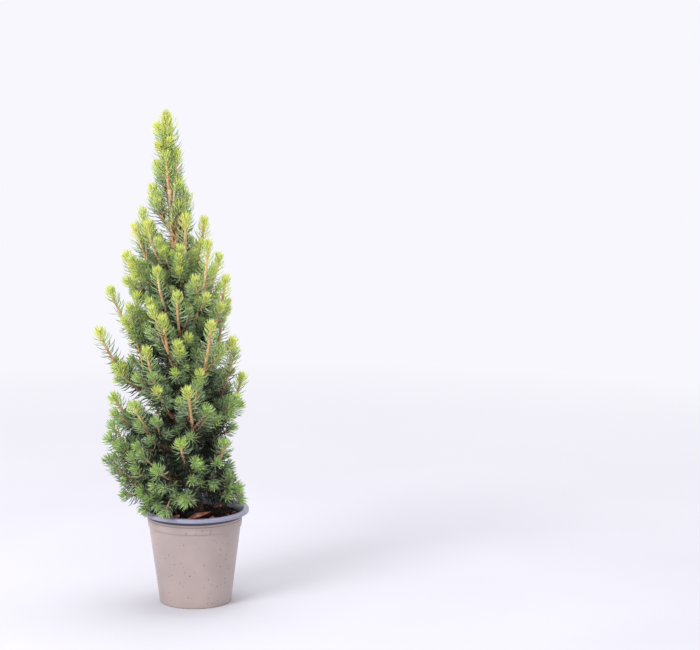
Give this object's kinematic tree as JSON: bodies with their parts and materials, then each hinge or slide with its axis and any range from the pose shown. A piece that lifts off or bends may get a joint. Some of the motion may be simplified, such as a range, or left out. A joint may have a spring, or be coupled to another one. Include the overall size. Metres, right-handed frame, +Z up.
{
  "type": "potted dwarf white spruce",
  "caption": "Round nursery pot of soil holding a dense, cone-shaped dwarf conifer with a leaning trunk, upswept boughs and needle-clad twigs.",
  "frame": {"origin": "centre of the pot's flat underside", "axes": "+Z up along the pot's axis, -Y towards the front shown in the picture, +X to the right"},
  "size_m": [0.1999, 0.1931, 0.647],
  "materials": {
    "pot": "taupe moulded plastic with a glossier blue-grey rim",
    "soil": "moist dark growing mix with bark chips",
    "bark": "thin scaly orange-brown bark",
    "needles_upper": "fresh yellow-green needles",
    "needles_lower": "mid to dark green needles"
  },
  "bodies": {
    "root": {"pot": "pot", "soil": "soil", "trunk": "bark", "foliage_top_right": "needles_upper", "foliage_top_front": "needles_upper", "foliage_top_left": "needles_upper", "foliage_top_front_right": "needles_upper", "foliage_top_back_right": "needles_upper", "foliage_top_back": "needles_upper", "foliage_upper_left": "needles_upper", "foliage_upper_left_front": "needles_upper", "foliage_upper_front": "needles_upper", "foliage_upper_right": "needles_upper", "foliage_upper_back": "needles_upper", "bough_left_high": "bark", "foliage_left_high": "needles_upper", "bough_right_front_high": "bark", "foliage_right_front_high": "needles_upper", "foliage_right_high": "needles_upper", "foliage_front_left_high": "needles_upper", "foliage_left_middle": "needles_upper", "bough_right_middle": "bark", "foliage_right_middle": "needles_upper", "foliage_front_high": "needles_upper", "bough_front_left_middle": "bark", "foliage_front_left_middle": "needles_lower", "foliage_back_left_high": "needles_upper", "foliage_back_right_high": "needles_upper", "bough_right_front_middle": "bark", "foliage_right_front_middle": "needles_lower", "bough_left_stray": "bark", "foliage_left_stray": "needles_lower", "foliage_right_low": "needles_lower", "bough_front_left_low": "bark", "foliage_front_left_low": "needles_lower", "bough_back_left_middle": "bark", "foliage_back_left_middle": "needles_lower", "foliage_back_middle": "needles_lower", "bough_back_right_middle": "bark", "foliage_back_right_middle": "needles_lower", "foliage_left_low": "needles_lower", "bough_front_low": "bark", "foliage_front_low": "needles_lower", "foliage_left_front_low": "needles_lower", "foliage_back_left_low": "needles_lower", "bough_back_low": "bark", "foliage_back_low": "needles_lower", "foliage_back_right_low": "needles_lower", "bough_foot_left": "bark", "foliage_foot_left": "needles_lower", "foliage_foot_right": "needles_lower", "foliage_foot_front": "needles_lower", "foliage_foot_front_left": "needles_lower", "foliage_foot_right_level": "needles_lower", "foliage_foot_front_level": "needles_lower", "foliage_foot_left_level": "needles_lower", "foliage_foot_back_left": "needles_lower", "foliage_foot_back": "needles_lower", "foliage_foot_back_right": "needles_lower", "foliage_leader": "needles_upper"}
  },
  "joints": []
}
